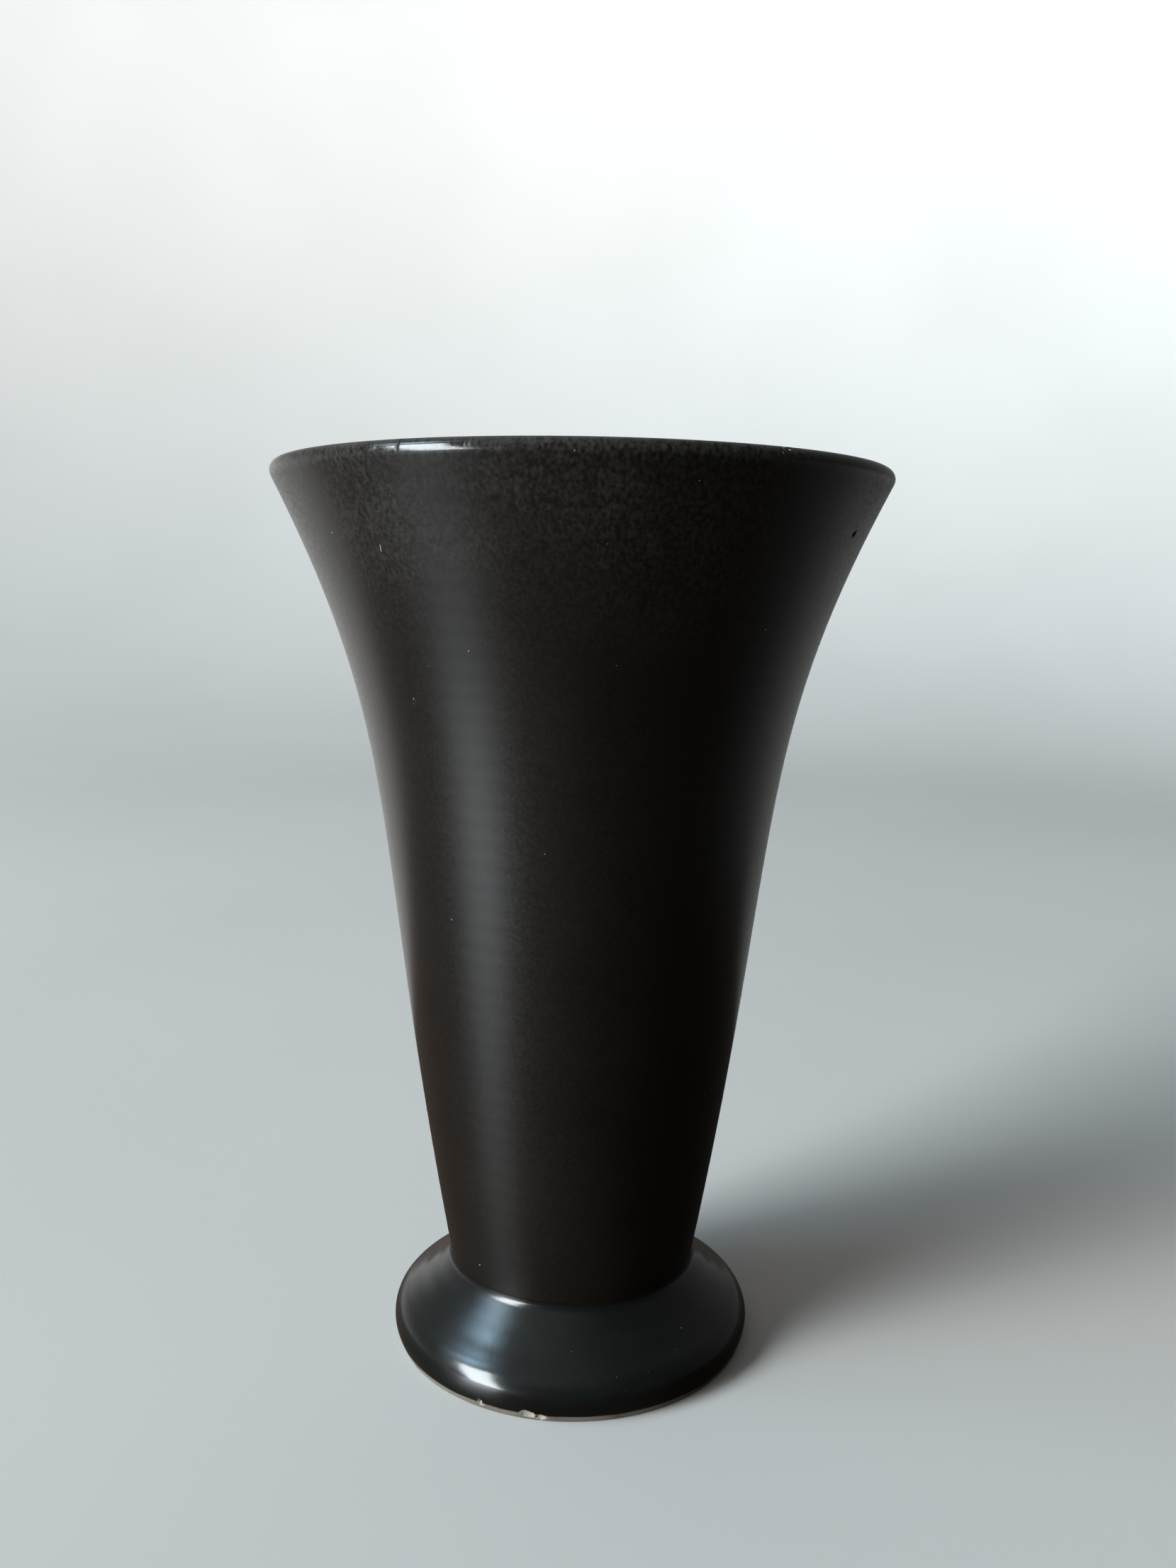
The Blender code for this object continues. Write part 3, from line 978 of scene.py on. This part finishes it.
pits = []
for number, (angle, up_the_pot, size) in enumerate([
    (61.8, 195.1 * MM, (1.3, 0.95, 1.8)),
    (-41.2, 159.2 * MM, (0.6, 0.9, 0.7)),
    (118.0, 133.0 * MM, (0.7, 0.8, 0.8)),
]):
    sunk = surface_radius(wall_line, up_the_pot) + 0.15 * MM
    pits.append(stone(angle, sunk, up_the_pot, size, 8.0 + number))
cracks = [
    lip_blade(-29.0, -8, 92, 0.27 * MM, 0.26 * MM, 1.0),
    lip_blade(-34.2, 4, 44, 0.26 * MM, 0.20 * MM, 2.0),
    lip_blade(-17.4, 8, 48, 0.22 * MM, 0.18 * MM, 3.0),
]
carve(body_coat, pits + cracks)
print("stained points:", mark_cut(body_coat, pits + cracks, "stain"))
for cutter in foot_chips + lip_chips + pits + cracks:
    bpy.data.objects.remove(cutter)
for piece in (body_coat, beaker_ware, foot_coat, foot_ware):
    piece.data.set_sharp_from_angle(angle=SHARP)
    print("after the cuts", face_count(piece))


# %% [markdown]
# ## Grit
# Specks of unmelted clay and ash stay caught in a glaze. Placing each by hand would be slow,
# so a geometry-node tree sprinkles them on the coat's outer side. A few larger ones sit where
# they are noted: the tree takes them from a second object and joins both. Each speck
# is a ball of 80 small faces, sunk halfway into the glaze.

# %% Build the sprinkler
MOSTLY_SMALL = 3.0


def build_sprinkler():
    """The tree that strews balls over a coat."""
    tree, given = start_tree("grit_sprinkler", {
        "Coat": "Geometry", "Noted Places": "Object", "Density": "Float", "Smallest": "Float",
        "Largest": "Float", "Highest": "Float", "Seed": "Int", "Finish": "Material",
    })
    place = tree.nodes.new("GeometryNodeInputPosition").outputs[0]
    facing = tree.nodes.new("GeometryNodeInputNormal").outputs[0]
    outward = vectors(tree, "MULTIPLY", {0: place, 1: (1.0, 1.0, 0.0)})
    faces_out = vectors(tree, "DOT_PRODUCT", {0: outward, 1: facing}, output="Value")
    wanted = times(
        tree, calculate(tree, "GREATER_THAN", faces_out, 0.0),
        calculate(tree, "LESS_THAN", axes_of(tree, place)[2], given["Highest"]),
    )
    scattered = add_node(tree, "GeometryNodeDistributePointsOnFaces", {
        "Mesh": given["Coat"], "Density": given["Density"], "Seed": given["Seed"], "Selection": wanted,
    }).outputs[0]
    small = add_node(
        tree, "FunctionNodeRandomValue", {2: 0.0, 3: 1.0, "Seed": given["Seed"]}, data_type="FLOAT"
    ).outputs[1]
    small = calculate(tree, "POWER", small, MOSTLY_SMALL)
    noted = add_node(tree, "GeometryNodeObjectInfo", {"Object": given["Noted Places"]}).outputs["Geometry"]
    noted = add_node(tree, "GeometryNodeMeshToPoints", {"Mesh": noted}).outputs[0]
    ball = add_node(tree, "GeometryNodeMeshIcoSphere", {"Radius": 0.5, "Subdivisions": 2}).outputs[0]
    joined = tree.nodes.new("GeometryNodeJoinGeometry")
    for points, share in ((scattered, small), (noted, named(tree, "share"))):
        toned = add_node(
            tree, "GeometryNodeStoreNamedAttribute",
            {"Geometry": points, "Name": "paleness", "Value": share}, data_type="FLOAT", domain="POINT",
        ).outputs[0]
        spread = add_node(tree, "ShaderNodeMapRange", {
            "Value": share, "To Min": given["Smallest"], "To Max": given["Largest"],
        }).outputs[0]
        specks = add_node(tree, "GeometryNodeInstanceOnPoints", {
            "Points": toned, "Instance": ball, "Scale": spread,
        })
        tree.links.new(specks.outputs[0], joined.inputs[0])
    end_tree(tree, joined.outputs[0], given["Finish"])
    return tree


sprinkler = build_sprinkler()
print("the sprinkler has", len(sprinkler.nodes), "nodes")


# %% Sprinkle the grit
SPECK_SINK = 0.06 * MM
CLEAN_LIP = 4 * MM
FACES_PER_SPECK = 80


def grit_finish():
    """Pale specks. The larger a speck, the paler, because less of it has melted away."""
    material, tree, shader, place = new_finish("pale_grit")
    crumb = grain(tree, place, 5200.0, 2.0)
    colour = blended(tree, stored(tree, "paleness"), (0.030, 0.028, 0.025), (0.26, 0.25, 0.22))
    colour = blended(tree, graded(tree, crumb, 0.45, 0.6, 0.0, 0.4), colour, (0.07, 0.065, 0.06))
    fed(tree, shader, Base_Color=colour, Roughness=graded(tree, crumb, 0.3, 0.7, 0.45, 0.7))
    return material


def sprinkle(name, coat, line, noted, density, smallest, largest, seed):
    """Specks on a coat. The noted ones are (degrees from the front, height in mm, size from
    0 to 1 between the smallest and the largest)."""
    spots = bpy.data.meshes.new(name + "_noted")
    spots.from_pydata(
        [on_the_pot(radians(a), surface_radius(line, z * MM) - SPECK_SINK, z * MM) for a, z, share in noted],
        [], [],
    )
    store(spots, "share", [share for a, z, share in noted])
    noted_places = placed(name + "_noted", spots)
    piece = made_by(sprinkler, coat.data.copy(), name, {
        "Noted Places": noted_places, "Density": density, "Smallest": smallest,
        "Largest": largest, "Highest": height - CLEAN_LIP, "Seed": seed, "Finish": grit,
    })
    bpy.data.objects.remove(noted_places)
    print(f"{name}: {len(piece.data.polygons) // FACES_PER_SPECK} specks")
    return piece


grit = grit_finish()
print(node_count(grit))
body_grit = sprinkle(
    "body_grit", body_coat, wall_line + lip_line[:10],
    [
        (-1.2, 207.2, 0.75), (-39.0, 190.7, 0.8), (-39.0, 190.45, 1.0), (-39.05, 190.2, 1.0),
        (-39.1, 189.95, 1.0), (-39.1, 189.7, 0.8), (-8.3, 128.8, 0.7), (41.3, 175.4, 0.8),
        (4.3, 191.2, 0.5), (18.2, 202.8, 0.5), (-33.1, 199.8, 0.5), (-36.8, 197.0, 0.5),
        (-41.2, 159.9, 1.0), (7.5, 168.2, 0.5), (96.0, 171.0, 0.6), (171.0, 188.0, 0.7),
        (-128.0, 120.0, 0.6),
    ],
    density=1100.0, smallest=0.09 * MM, largest=0.38 * MM, seed=11,
)
foot_grit = sprinkle(
    "foot_grit", foot_coat, foot_line,
    [
        (-30.0, 13.9, 0.9), (0.5, 13.2, 0.6), (14.6, 9.4, 0.5), (25.0, 9.1, 0.4),
        (37.9, 10.7, 0.5), (120.0, 12.0, 0.8),
    ],
    density=1500.0, smallest=0.08 * MM, largest=0.25 * MM, seed=12,
)


# %% [markdown]
# ## Stage and light
# A black glaze has hardly any colour of its own: what it shows is the room. So the room is
# built in three parts. The floor is one wide pale dish that curves up far away and is seen
# by the camera only. Where the camera sees pale paper, the glaze sees a varnished brown
# board, which throws a streak of the window up at the pot. The walls are painted in the
# world: pale behind and to the left, dim to the right. The window is one tall softbox.

# %% Lay the floor
FLOOR_COLOUR = (0.62, 0.61, 0.59)
DISH_RADIUS = 1.9


def pale_paper():
    """A matt paper sweep. It glows a little where it rises, as if lit from behind."""
    material, tree, shader, place = new_finish("pale_floor")
    darker = tuple(c * 0.96 for c in FLOOR_COLOUR)
    tint = clouded(tree, grain(tree, place, 3.0, 2.0), FLOOR_COLOUR, darker)
    glow = graded(tree, axes_of(tree, place)[2], 0.0, 1.1, 0.0, 0.70)
    fed(tree, shader, Base_Color=tint, Emission_Color=tint, Emission_Strength=glow)
    shader.inputs["Roughness"].default_value = 0.9
    shader.inputs["Specular IOR Level"].default_value = 0.2
    return material


dish_line = [(0.0, 0.0), (0.4, 0.0), (0.8, 0.0)]
dish_line += rounding((1.0, 0.0), (DISH_RADIUS, 0.0), (DISH_RADIUS, 0.9), 24) + [(DISH_RADIUS, 1.6)]
floor = placed("floor", line_mesh("floor", dish_line))
dish_turn = floor.modifiers.new("turn", "SCREW")
dish_turn.steps = dish_turn.render_steps = 96
dish_turn.use_merge_vertices = True
dish_turn.merge_threshold = 0.1 * MM
dish_turn.use_smooth_shade = True
floor.data.materials.append(pale_paper())
floor.visible_glossy = False
floor.visible_diffuse = False
floor.visible_shadow = False
print("floor dish:", 2 * DISH_RADIUS, "m across")


# %% Lay the board that the glaze mirrors
def varnished_wood():
    material, tree, shader, place = new_finish("varnished_board")
    figure = grain(tree, place, 9.0, 4.0, 0.6, stretch=(1.0, 9.0, 1.0))
    colour = clouded(tree, figure, (0.072, 0.038, 0.023), (0.115, 0.062, 0.038))
    # The board's right side is painted darker: painted shade standing in for the pot's shadow across it.
    painted_shade = graded(tree, axes_of(tree, place)[0], -0.06, 0.07)
    fed(tree, shader, Base_Color=blended(tree, painted_shade, colour, (0.022, 0.013, 0.009)))
    shader.inputs["Roughness"].default_value = 0.32
    return material


(left, front), (far_right, back) = (-0.62, -0.45), (0.38, 0.20)
board_mesh = bpy.data.meshes.new("board")
corners = [(x, y, -MM) for x, y in ((left, front), (far_right, front), (far_right, back), (left, back))]
board_mesh.from_pydata(corners, [], [(0, 1, 2, 3)])
board = placed("board", board_mesh)
board.data.materials.append(varnished_wood())
board.visible_camera = False
board.visible_shadow = False
print(f"board: {far_right - left:.2f} m by {back - front:.2f} m")


# %% Paint the room
world = bpy.data.worlds.new("soft_room")
bpy.context.scene.world = world
world.use_nodes = True
room = world.node_tree
toward = axes_of(room, room.nodes.new("ShaderNodeTexCoord").outputs["Generated"])
across = calculate(room, "ARCTAN2", toward[0], times(room, toward[1], -1.0))
upward = calculate(room, "ARCSINE", toward[2])
leftness = graded(room, toward[0], 0.55, -0.45)


def left_and_right(on_right, on_left):
    """A value that goes from one on the right of the room to another on its left."""
    return mixed(room, leftness, on_right, on_left, "FLOAT", (2, 3)).outputs[0]


def bell(centre, width, value):
    """A soft patch round an angle."""
    off = calculate(room, "DIVIDE", calculate(room, "SUBTRACT", value, radians(centre)), radians(width))
    return calculate(room, "EXPONENT", times(room, times(room, off, off), -1.0))


def lit(amount, colour):
    """A colour made as bright as an amount, which may be above 1."""
    return vectors(room, "SCALE", {0: colour, "Scale": amount})


right_wall = graded(room, toward[2], -0.14, 0.06, 0.23, 0.09)
right_wall = times(room, right_wall, graded(room, toward[2], -0.42, -0.30, 0.25, 1.0))
left_wall = graded(room, toward[2], -0.08, 0.40, 0.80, 0.20)
walls = times(room, graded(room, toward[1], -0.5, 0.9), left_and_right(right_wall, left_wall))
walls = plus(room, walls, left_and_right(0.06, 0.09))
ceiling = times(room, graded(room, toward[2], 0.45, 0.9, 0.0, 0.26), left_and_right(0.07, 1.0))
sky = times(room, times(room, bell(-83, 12, across), bell(48, 8, upward)), 11.0)
light = vectors(room, "ADD", {
    0: lit(plus(room, walls, ceiling), (1.0, 1.0, 0.985)), 1: lit(sky, (0.52, 0.80, 1.0)),
})
room.links.new(light, room.nodes["Background"].inputs["Color"])
print("the room has", len(room.nodes), "nodes")


# %% Hang the window
WINDOW_AZIMUTH = radians(-56.4)
WINDOW_ELEVATION = radians(16)
WINDOW_LEAN = radians(22)
WINDOW_DISTANCE = 4.0
WINDOW_WIDTH = 1.42
WINDOW_HEIGHT = 3.90
WINDOW_RADIANCE = 22.0
AIM_HEIGHT = 0.25 * height

lamp = bpy.data.lights.new("window", "AREA")
lamp.shape = "RECTANGLE"
lamp.size = WINDOW_WIDTH
lamp.size_y = WINDOW_HEIGHT
lamp.energy = WINDOW_RADIANCE * pi * WINDOW_WIDTH * WINDOW_HEIGHT
lamp.color = (0.88, 0.96, 1.0)
window = placed("window", lamp)
level = cos(WINDOW_ELEVATION)
aim = Vector((sin(WINDOW_AZIMUTH) * level, -cos(WINDOW_AZIMUTH) * level, sin(WINDOW_ELEVATION)))
leaning = Matrix.Rotation(WINDOW_LEAN, 4, "Z").to_quaternion()
window.location = Vector((0.0, 0.0, AIM_HEIGHT)) + aim * WINDOW_DISTANCE
window.rotation_euler = (aim.to_track_quat("Z", "Y") @ leaning).to_euler()
window.visible_camera = False
bpy.context.scene.view_settings.view_transform = "Standard"
print("window at", [round(x, 2) for x in window.location], "power", round(lamp.energy, 1))


# %% [markdown]
# ## Hand over to the frame
# Each piece rides on the body and stands for its imported node, with the slot of its finish listed beside
# it.

# %% Bind the pieces
pieces = {
    body_coat: ("body_glaze", "black_satin_glaze"),
    liner_coat: ("liner_glaze", "black_liner_glaze"),
    beaker_ware: ("beaker_body", "beaker_clay"),
    foot_coat: ("foot_glaze", "black_gloss_glaze"),
    foot_ware: ("pedestal_foot", "foot_clay"),
    slip_ring: ("luting_slip", "joining_slip"),
}
for piece, (node, slot) in pieces.items():
    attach(piece, BODY)
    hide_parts(node)
for piece, slot in ((body_grit, "black_satin_glaze"), (foot_grit, "black_gloss_glaze")):
    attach(piece, BODY)
print("bound to", BODY + ":", [piece.name for piece in (*pieces, body_grit, foot_grit)])
